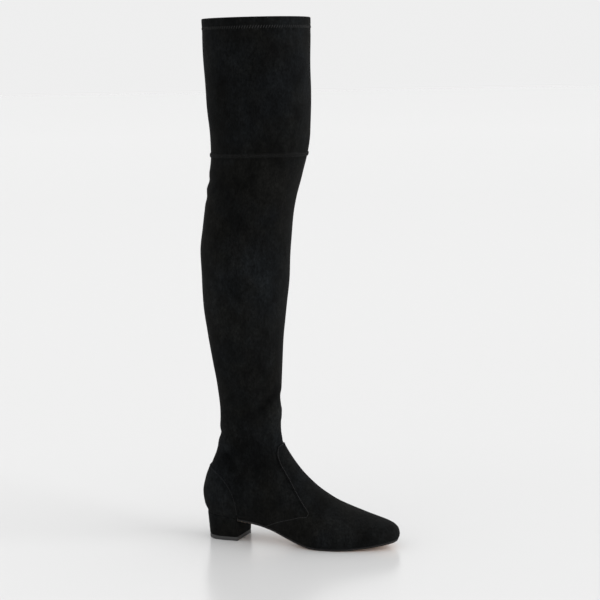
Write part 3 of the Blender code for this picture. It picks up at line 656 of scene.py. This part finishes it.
def on_surface(x, z):
    """Places of points given in the side view, and their shares of the way up the section there."""

    def behind(place):
        base_x, base_z, top_x, top_z, _ = section_ends(place)
        return (top_x - base_x) * (z - base_z) - (top_z - base_z) * (x - base_x) >= 0.0

    place = bisect(np.full(x.shape, SEAM_PLACES[0]), np.full(x.shape, SEAM_PLACES[1]), behind)
    base_x, base_z, top_x, top_z, _ = section_ends(place)
    along, up = top_x - base_x, top_z - base_z
    return place, ((x - base_x) * along + (z - base_z) * up) / (along**2 + up**2)


def turn_at(place, share, medial):
    """The turn, 0 at the lower end and 1 on the ridge, at which a section reaches a share of its way up."""
    edge = section_ends(place)[4][1 if medial else 0]
    widest = CURVES[5 if medial else 4](place)
    low, high = CURVES[6](place), CURVES[7](place)
    return bisect(np.zeros(place.shape), np.ones(place.shape),
                  lambda turn: along_and_width(turn, widest, edge, low, high)[0] <= share)


def vamp_edge(seam, medial):
    """Places and turns along the vamp's seam, from its upper end down to the sole."""
    place, share = on_surface(*seam_points(seam, SOLE_LENGTH, INSTEP_HEIGHT, sole_line))
    inside = share < 0.9995
    place, share = place[inside], np.clip(share[inside], 0.0, 1.0)
    return place, turn_at(place, share, medial)


def step_inwards(place, side):
    """Changes of place and side per metre off a line, within the surface and towards lower places."""
    point, by_place, by_side, normal = local_frame(place, side)
    across = unit(np.cross(normal, unit(np.gradient(point, axis=0))))
    if np.sum(across * by_place) > 0.0:
        across = -across
    a, b, e = (np.sum(by_place * other, axis=-1) for other in (by_place, by_side, across))
    c, f = (np.sum(by_side * other, axis=-1) for other in (by_side, across))
    det = np.maximum(a * c - b * b, 1e-18)
    return (c * e - b * f) / det, (a * f - b * e) / det


def overlay_points(inward, filled, steps):
    """Points of an overlay: rows along the profile of its edge, then rows that fill its face."""
    rows = [(*inward(distance), offset) for distance, offset in EDGE_PROFILE]
    place, side = inward(EDGE_PROFILE[-1][0])
    rows += [(*filled(place, side, t), OVERLAY_TOP) for t in np.linspace(0.0, 1.0, steps)[1:]]
    places, sides, offsets = zip(*rows)
    return skin(np.array(places), np.array(sides), np.array(offsets)[:, None])[0]


def build_vamp(suede):
    """The vamp with its pointed seam on both sides. Gives the line of its stitches."""
    lateral, medial = vamp_edge(VAMP_SEAM_LATERAL, False), vamp_edge(VAMP_SEAM_MEDIAL, True)
    place = np.hstack((lateral[0][::-1], [0.5 * (lateral[0][0] + medial[0][0])], medial[0]))
    side = np.hstack((lateral[1][::-1] - 1.0, [0.0], 1.0 - medial[1]))
    side = np.maximum.accumulate(np.clip(side, -1.0, 1.0))
    for _ in range(3):
        place[1:-1] = 0.25 * place[:-2] + 0.5 * place[1:-1] + 0.25 * place[2:]
    d_place, d_side = step_inwards(place, side)
    even = np.linspace(-1.0, 1.0, len(side))

    def inward(distance):
        moved = np.clip(side + d_side * distance, -1.0, 1.0)
        return np.maximum(place + d_place * distance, 0.0), np.maximum.accumulate(moved)

    points = overlay_points(inward, lambda p, s, t: (p * (1.0 - t), s + (even - s) * smooth(t)), VAMP_ROWS)
    cover("vamp_suede", "vamp", points, grid(*points.shape[:2]), suede, OVERLAY_TOP)
    return inward(STITCH_INSET)


def place_of_back(height):
    """The place whose lower end, at the back, lies at a height."""
    places = np.linspace(LAST_FOOT, 30.0, 4000)
    return float(places[np.searchsorted(section_ends(places)[1], height)])


def build_counter(suede):
    """The heel counter, from the heel's back down to the sole. Gives the lines of its stitches."""
    seat = float(sole_line(0.0))
    x, z = seam_points(COUNTER_SEAM, HEEL_LENGTH, COUNTER_HEIGHT, lambda x: seat + 0.0 * x)
    start = place_of_back(z[0])
    back_x = np.linspace(-0.004, x[0], 12)[:-1]
    x, z = np.hstack((back_x, x)), np.hstack((np.full(back_x.shape, z[0]), z))
    place, share = on_surface(x, np.maximum(z, sole_line(x)))
    inside = share > 0.0
    on_edge, share = place[inside], np.clip(share[inside], 0.0, 1.0)
    place = np.minimum.accumulate(np.hstack(([start], on_edge)))
    halves, stitches = [], []
    for medial, sign in ((False, -1.0), (True, 1.0)):
        side = sign * (1.0 - np.hstack(([0.0], turn_at(on_edge, share, medial))))
        d_place, d_side = step_inwards(place, side)

        def inward(distance):
            moved = side + d_side * distance
            return place + d_place * distance, sign * np.clip(sign * moved, 0.0, 1.0)

        halves.append(overlay_points(inward, lambda p, s, t: (p, s + (sign - s) * t), COUNTER_ROWS))
        stitches.append(inward(STITCH_INSET))
    rows, columns = halves[0].shape[:2]
    faces = grid(rows, columns) + grid(rows, columns, first=rows * columns)
    cover("heel_counter_suede", "heel_counter", np.concatenate(halves), faces, suede, OVERLAY_TOP)
    return stitches


def tubes(name, paths, radius, made_of):
    """Threads as one mesh. Each path is points with their outward normals."""
    points, faces, first = [], [], 0
    angles = 2.0 * math.pi * np.arange(THREAD_SIDES) / THREAD_SIDES
    for path, normals in paths:
        tangent = unit(np.gradient(path, axis=0))
        across = unit(np.cross(tangent, normals))
        lift = unit(np.cross(across, tangent))
        size = np.full(len(path), radius)
        size[[0, -1]] *= THREAD_END
        ring = np.cos(angles)[:, None] * across[:, None] + np.sin(angles)[:, None] * lift[:, None]
        points.append((path[:, None] + size[:, None, None] * ring).reshape(-1, 3))
        faces += [(a, d, c, b) for a, b, c, d in grid(len(path), THREAD_SIDES, first, wrap=True)]
        last = first + (len(path) - 1) * THREAD_SIDES
        faces.append(tuple(range(first, first + THREAD_SIDES)))
        faces.append(tuple(range(last, last + THREAD_SIDES))[::-1])
        first = last + THREAD_SIDES
    dress(new_mesh(name, np.concatenate(points), faces, (made_of,), weld=False), "suede")


def run_stitches(name, line, made_of):
    """A row of short stitches along a line on an overlay."""
    points, normals = skin(*line, OVERLAY_TOP)
    keep = np.hstack(([True], np.diff(run_along(points)) > 1e-5))
    points, normals = points[keep], normals[keep]
    run = run_along(points)
    rise = STITCH_RADIUS * np.array([-0.9, 0.2, 0.45, 0.2, -0.9])
    paths, start = [], STITCH_MARGIN
    while start + STITCH_LENGTH < run[-1] - STITCH_MARGIN:
        at = start + STITCH_LENGTH * np.array([0.0, 0.2, 0.5, 0.8, 1.0])
        out = unit(resampled(at, run, normals))
        paths.append((resampled(at, run, points) + out * rise[:, None], out))
        start += STITCH_PITCH
    tubes(name, paths, STITCH_RADIUS, made_of)


def ring_at(height, offset, count):
    """Points and normals round the leg at a height, evenly spaced."""
    sides = np.linspace(-1.0, 1.0, 721)
    points, normals = skin(np.full(sides.shape, place_at_height(height)), sides, offset)
    run = run_along(points)
    even = np.linspace(0.0, run[-1], count + 1)[:-1]
    return resampled(even, run, points), resampled(even, run, normals)


def cross_stitches(name, height, half_width, offset, pitch, lean, ways, radius, made_of):
    """A row of stitches round the leg, slanted one way, or both ways in turn as a zigzag."""
    length = math.pi * 0.5 * sum(COLLAR)
    count = int(length / pitch) * 4
    rings = [ring_at(z, offset, count) for z in height + half_width * np.linspace(-1.0, 1.0, 5)]
    rise = radius * np.array([-0.9, 0.35, 0.6, 0.35, -0.9])
    paths = []
    for start in range(0, count, 4):
        for way in ways:
            path, out = [], []
            for i, (points, normals) in enumerate(rings):
                at = (start + lean * (i - 2) / 4.0 * way + (0.0 if way > 0 else 2.0)) % count
                low, part = int(at) % count, at % 1.0
                point, normal = (values[low] * (1.0 - part) + values[(low + 1) % count] * part
                                 for values in (points, normals))
                out.append(unit(normal))
                path.append(point + out[-1] * rise[i])
            paths.append((np.array(path), np.array(out)))
    tubes(name, paths, radius, made_of)


def heel_outline(taper):
    """The heel's outline as a closed loop that starts at the middle of the back."""
    reach = HEEL_ROUND * SOLE_LENGTH
    turns = np.linspace(0.0, 0.5 * math.pi, 30)[3:]
    stations = np.hstack((reach * (1.0 - np.cos(turns)), np.linspace(reach, HEEL_LENGTH, 10)[1:]))
    edges = edge_half_widths(stations / SOLE_LENGTH)
    slant = np.maximum(0.0, 1.0 - stations / reach)
    x = stations - HEEL_MARGIN * slant - HALF_HEEL
    x = x + HEEL_MARGIN * taper * (1.0 - stations / HEEL_LENGTH)
    grow = HEEL_MARGIN * np.sqrt(1.0 - slant * slant) - HEEL_TAPER * taper
    lateral, medial = -(edges[0] + grow), edges[1] + grow
    arc = np.linspace(0.0, 0.5 * math.pi, 6)
    round_x, round_y = BREAST_RADIUS * np.sin(arc), BREAST_RADIUS * np.cos(arc)
    start, low, high = x[-1] - BREAST_RADIUS, lateral[-1] + BREAST_RADIUS, medial[-1] - BREAST_RADIUS
    keep = x < start - 0.0003
    loop = [(x[0] - 0.00012, 0.0), *zip(x[keep], lateral[keep]), *zip(start + round_x, low - round_y)]
    loop += [(x[-1], y) for y in np.linspace(low, high, 14)[1:-1]]
    loop += [*zip(start + round_y, high + round_x), *list(zip(x[keep], medial[keep]))[::-1]]
    return np.array(loop)


def shrunk(loop, middle, distance):
    away = loop - middle
    return loop - away / np.linalg.norm(away, axis=1, keepdims=True) * distance


def loft(name, layers, made_of):
    """A closed body through loops, with its ends filled by shrinking them."""
    ends = []
    for layer in (layers[0], layers[-1]):
        middle = layer.mean(axis=0)
        ends.append([middle + (layer - middle) * share for share in (0.03, 0.35, 0.65, 0.88, 0.97)])
    stack = ends[0] + layers + ends[1][::-1]
    count = len(layers[0])
    faces = grid(len(stack), count, wrap=True)
    faces.append(tuple(range(count))[::-1])
    faces.append(tuple((len(stack) - 1) * count + i for i in range(count)))
    return new_mesh(name, np.concatenate(stack), faces, (made_of,))


def build_heel(suede, rubber):
    """The covered block, with soft edges, and the rubber piece under it."""
    low_z = TOP_PIECE_THICKNESS + CLEARANCE
    seat, foot = heel_outline(0.0), heel_outline(1.0)
    middle = foot.mean(axis=0)
    layers = []
    for share, inset in HEEL_LAYERS:
        loop = shrunk(foot + (seat - foot) * share, middle, inset)
        top = sole_line(loop[:, 0] + HALF_HEEL) - CLEARANCE
        layers.append(np.column_stack((loop, low_z + (top - low_z) * share)))
    dress(loft("heel_cover_suede", layers, suede), "suede", "heel_block")
    layers = [np.column_stack((shrunk(foot, middle, inset), np.full(len(foot), z))) for z, inset in RUBBER_LAYERS]
    dress(loft("heel_top_piece_rubber", layers, rubber), "heel_rubber", "heel_top_piece")


def build_outsole(edge, leather):
    """The thin sole with a dark edge and a plain leather underside."""
    stations = np.linspace(HEEL_LENGTH + CLEARANCE + HEEL_MARGIN, FOOT_SECTIONS[0][0] * SOLE_LENGTH, 92)
    edges = edge_half_widths(stations / SOLE_LENGTH)
    lateral = np.column_stack((stations - HALF_HEEL, -edges[0]))
    medial = np.column_stack((stations - HALF_HEEL, edges[1]))
    arc = surface(np.zeros(61), np.linspace(-1.0, 1.0, 61))[:, :2]
    outline = np.concatenate((lateral[:-1], arc, medial[:-1][::-1]))
    along = np.gradient(outline, axis=0)
    out = unit(np.column_stack((along[:, 1], -along[:, 0])))
    layers = []
    for share, outset in SOLE_LAYERS:
        loop = outline + out * outset
        z = sole_line(loop[:, 0] + HALF_HEEL) - CLEARANCE - share * OUTSOLE_THICKNESS
        layers.append(np.column_stack((loop, z)))
    count = len(outline)
    points = list(np.concatenate(layers))
    faces = grid(len(layers), count)
    indices = [1 if f < count - 1 else 0 for f in range(len(faces))]
    breast_rows = []
    for first, depth, made_of in ((0, OUTSOLE_THICKNESS, 1), ((len(layers) - 1) * count, 0.0, 0)):
        rows = []
        for i in range(count // 2 + 1):
            a, b = points[first + i], points[first + count - 1 - i]
            row = [first + i]
            for k in range(1, SOLE_COLUMNS):
                x, y, _ = a + (b - a) * (k / SOLE_COLUMNS)
                row.append(len(points))
                points.append(np.array([x, y, sole_line(x + HALF_HEEL) - CLEARANCE - depth]))
            rows.append(row + [first + count - 1 - i])
        breast_rows.append(rows[0])
        for near, far in zip(rows, rows[1:]):
            for k in range(SOLE_COLUMNS):
                face = tuple(dict.fromkeys((near[k], near[k + 1], far[k + 1], far[k])))
                if len(face) > 2:
                    faces.append(face)
                    indices.append(made_of)
    lateral_side = [layer * count for layer in range(1, len(layers) - 1)]
    medial_side = [start + count - 1 for start in lateral_side]
    faces.append(tuple(breast_rows[0] + medial_side + breast_rows[1][::-1] + lateral_side[::-1]))
    indices.append(0)
    dress(new_mesh("outsole_leather", points, faces, (edge, leather), indices), "sole_leather", "outsole")


def grey(level):
    return (level, level, level, 1.0)


class Look:
    """A material in the making, with its textures in the boot's own metres."""

    def __init__(self, name, colour, roughness):
        self.made = bpy.data.materials.new(name)
        self.made.use_nodes = True
        self.made.diffuse_color = colour
        self.tree = self.made.node_tree
        self.shader = self.tree.nodes["Principled BSDF"]
        self.shade({"Base Color": colour, "Roughness": roughness})
        self.where = self.node("TexCoord", {}, "Object")

    def put(self, socket, value):
        """Links a node's output to a socket, or sets the socket to a plain value."""
        if isinstance(value, bpy.types.NodeSocket):
            self.tree.links.new(value, socket)
        else:
            socket.default_value = value

    def shade(self, values):
        for name, value in values.items():
            self.put(self.shader.inputs[name], value)
        return self.made

    def node(self, kind, values, output=None):
        """A node with its inputs set or linked, or one of its outputs."""
        node = self.tree.nodes.new("ShaderNode" + kind)
        for name, value in values.items():
            self.put(node.inputs[name], value)
        return node.outputs[output] if output else node

    def noise(self, scale, detail, roughness, stretch=None):
        """A noise texture, stretched along the axes if asked."""
        where = self.where
        if stretch:
            where = self.node("Mapping", {"Scale": stretch, "Vector": where}, "Vector")
        values = {"Scale": scale, "Detail": detail, "Roughness": roughness, "Vector": where}
        return self.node("TexNoise", values, "Fac")

    def pebbles(self, scale):
        return self.node("TexVoronoi", {"Scale": scale, "Vector": self.where}, "Distance")

    def ramp(self, value, *stops):
        """Colours, or greys given as levels, along a value."""
        node = self.node("ValToRGB", {"Fac": value})
        elements = node.color_ramp.elements
        while len(elements) < len(stops):
            elements.new(0.5)
        for element, (at, colour) in zip(elements, stops):
            element.position, element.color = at, colour if isinstance(colour, tuple) else grey(colour)
        return node.outputs["Color"]

    def tinted(self, first, second):
        """The product of two colours."""
        node = self.node("Mix", {})
        node.data_type = "RGBA"
        node.blend_type = "MULTIPLY"
        for index, value in ((0, 1.0), (6, first), (7, second)):
            self.put(node.inputs[index], value)
        return node.outputs[2]

    def bump(self, height, distance, strength, below=None):
        values = {"Distance": distance, "Strength": strength, "Height": height}
        if below is not None:
            values["Normal"] = below
        return self.node("Bump", values, "Normal")

    def tones(self, table):
        """The product of soft patches of painted shade and painted light: each its tone in its middle, and one
        from its radius outwards.
        """
        result = 1.0
        for x, y, z, radius, tone in table:
            centre = (x * MM - HALF_HEEL, y * MM, z * MM)
            away = self.node("VectorMath", {0: self.where, 1: centre})
            away.operation = "DISTANCE"
            values = {"Value": away.outputs["Value"], "From Max": radius * MM, "To Min": tone, "To Max": 1.0}
            fade = self.node("MapRange", values)
            fade.interpolation_type = "SMOOTHSTEP"
            product = self.node("Math", {0: result, 1: fade.outputs["Result"]})
            product.operation = "MULTIPLY"
            result = product.outputs["Value"]
        return result


def suede_material(name, dark, light, sheen):
    """Black suede: brushed nap in soft patches, fine fibres, a faint sheen, and painted shade and painted light at
    creases, hollows and bulges.
    """
    middle = 0.5 * (dark + light)
    look = Look(name, grey(middle), 0.92)
    patches = look.noise(38.0, 5.0, 0.62, (1.0, 1.0, 0.6))
    clouds = look.noise(130.0, 4.0, 0.6, (1.0, 1.0, 0.7))
    nap = look.noise(420.0, 4.0, 0.72, (1.0, 1.0, 0.6))
    fibre = look.noise(2600.0, 3.0, 0.65)
    hue = look.noise(12.0, 4.0, 0.6)
    colour = look.ramp(patches, (0.34, dark), (0.50, middle), (0.68, light))
    for layer in (
        look.ramp(clouds, (0.34, 0.76), (0.66, 1.26)),
        look.ramp(nap, (0.34, 0.56), (0.66, 1.54)),
        look.ramp(fibre, (0.28, 0.72), (0.72, 1.32)),
        look.ramp(hue, (0.38, COOL_TINT), (0.62, WARM_TINT)),
        # painted shade in creases and hollows, painted light on bulges and the toe
        look.tones(PAINTED_SHADE_AND_LIGHT),
    ):
        colour = look.tinted(colour, layer)
    return look.shade({
        "Base Color": colour,
        "Normal": look.bump(fibre, 0.00016, 0.65, look.bump(nap, 0.0005, 0.35)),
        "Roughness": look.ramp(patches, (0.3, 0.88), (0.7, 0.98)),
        "Specular IOR Level": 0.05,
        "Sheen Weight": sheen,
        "Sheen Roughness": 0.45,
    })


def thread_material(name, level):
    """Dull polyester thread with a fine twist."""
    look = Look(name, grey(level), 0.6)
    twist = look.noise(1900.0, 2.0, 0.5)
    return look.shade({
        "Base Color": look.ramp(twist, (0.3, 0.75 * level), (0.7, 1.25 * level)),
        "Normal": look.bump(twist, 0.0001, 0.4),
        "Specular IOR Level": 0.15,
        "Sheen Weight": 0.03,
    })


def lining_material():
    """Black brushed textile on the inside of the wall."""
    look = Look("lining_textile", grey(0.012), 0.9)
    weave = look.node("TexWave", {"Scale": 320.0, "Distortion": 1.2, "Vector": look.where})
    weave.bands_direction = "Z"
    return look.shade({
        "Base Color": look.ramp(look.noise(60.0, 3.0, 0.5), (0.35, 0.009), (0.65, 0.016)),
        "Normal": look.bump(weave.outputs["Fac"], 0.0002, 0.4),
        "Sheen Weight": 0.05,
    })


def leather_material(name, dark, light, roughness, scale):
    """Plain vegetable tanned leather: mottled, with fine pores."""
    look = Look(name, light, roughness)
    scratches = look.noise(scale, 3.0, 0.6, (0.18, 1.0, 1.0))
    mottled = look.ramp(look.noise(45.0, 5.0, 0.6), (0.3, dark), (0.7, light))
    return look.shade({
        "Base Color": look.tinted(mottled, look.ramp(scratches, (0.32, 0.90), (0.66, 1.04))),
        "Roughness": look.ramp(scratches, (0.3, roughness + 0.12), (0.7, roughness - 0.06)),
        "Normal": look.bump(look.pebbles(1400.0), 0.0001, 0.3),
    })


def edge_material():
    """Black edge dye, slightly waxed."""
    look = Look("sole_edge_black", grey(0.010), 0.5)
    layers = look.noise(700.0, 3.0, 0.6, (0.2, 0.2, 1.0))
    return look.shade({
        "Base Color": look.ramp(layers, (0.3, 0.007), (0.7, 0.015)),
        "Normal": look.bump(layers, 0.0001, 0.35),
        "Specular IOR Level": 0.20,
    })


def rubber_material():
    """Grey black rubber with a moulded pebble and light scuffs."""
    look = Look("top_piece_rubber", grey(0.028), 0.62)
    scuffs = look.noise(130.0, 5.0, 0.65)
    return look.shade({
        "Base Color": look.ramp(scuffs, (0.35, 0.022), (0.72, 0.040)),
        "Roughness": look.ramp(scuffs, (0.3, 0.55), (0.7, 0.75)),
        "Normal": look.bump(look.pebbles(900.0), 0.0002, 0.35),
    })


def floor_material():
    """Pale satin studio floor that mirrors the boot faintly."""
    look = Look("studio_floor", grey(FLOOR_LEVEL), 0.22)
    haze = look.noise(900.0, 2.0, 0.5)
    return look.shade({"Base Color": look.ramp(haze, (0.2, 0.997 * FLOOR_LEVEL), (0.8, 1.003 * FLOOR_LEVEL))})


def build_stage():
    """The floor and the light."""
    corners = [(x, y, 0.0) for x, y in ((-60.0, -60.0), (60.0, -60.0), (60.0, 60.0), (-60.0, 60.0))]
    new_mesh("studio_floor", corners, [(0, 1, 2, 3)], (floor_material(),), weld=False)
    world = bpy.data.worlds.new("studio")
    world.use_nodes = True
    back = world.node_tree.nodes["Background"]
    back.inputs["Color"].default_value = grey(1.0)
    back.inputs["Strength"].default_value = WORLD_LEVEL
    bpy.context.scene.world = world
    for name, direction, power, spread in SUNS:
        light = bpy.data.lights.new(name, "SUN")
        light.energy = power
        light.angle = math.radians(spread)
        placed(name, light).rotation_euler = Vector(direction).to_track_quat("Z", "Y").to_euler()


def build_camera():
    """The camera at the photograph's angle to the boot."""
    a, e = math.radians(CAMERA_AZIMUTH), math.radians(CAMERA_ELEVATION)
    back = Vector((math.sin(a) * math.cos(e), -math.cos(a) * math.cos(e), math.sin(e)))
    data = bpy.data.cameras.new("camera")
    data.lens = CAMERA_LENS
    data.sensor_width = CAMERA_SENSOR
    data.sensor_fit = "HORIZONTAL"
    data.clip_end = 200.0
    camera = placed("camera", data)
    camera.location = Vector(CAMERA_ANCHOR) + back * CAMERA_DISTANCE
    ahead = (Vector(CAMERA_AIM) - camera.location).to_track_quat("-Z", "Y").to_matrix()
    camera.rotation_euler = (ahead @ Matrix.Rotation(-math.radians(CAMERA_ROLL), 3, "Z")).to_euler()
    bpy.context.scene.camera = camera


def build():
    bpy.context.scene.view_settings.view_transform = "Standard"
    suede = suede_material("suede_black", 0.0022, 0.0060, 0.014)
    lining = lining_material()
    build_upper(suede, lining)
    build_thigh(suede, lining)
    build_band(suede_material("suede_band", 0.0030, 0.0072, 0.022))
    vamp_line = build_vamp(suede)
    lateral_line, medial_line = build_counter(suede)
    # The overlays' thread is lighter than the suede, and lighter on the vamp than on the counter: partly the
    # thread's own colour, partly painted highlight along the raised seam edges.
    counter_thread_painted_highlight = thread_material("thread_counter_painted_highlight", 0.017)
    run_stitches("vamp_stitches", vamp_line, thread_material("thread_black_painted_highlight", 0.032))
    run_stitches("counter_stitches_lateral", lateral_line, counter_thread_painted_highlight)
    run_stitches("counter_stitches_medial", medial_line, counter_thread_painted_highlight)
    cross_stitches("knee_stitches", KNEE_Z, *KNEE_STITCHES, thread_material("thread_band", 0.0065))
    cross_stitches("hem_stitches", TOP_Z - HEM_LINE, *HEM_STITCHES, thread_material("thread_grey", 0.027))
    build_heel(suede, rubber_material())
    build_outsole(edge_material(), leather_material("sole_leather", *SOLE_TANS, 0.42, 240.0))
    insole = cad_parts["insole"]
    insole.data.materials.clear()
    insole.data.materials.append(leather_material("insole_leather", *SOCK_TANS, 0.55, 200.0))
    build_stage()
    build_camera()


build()
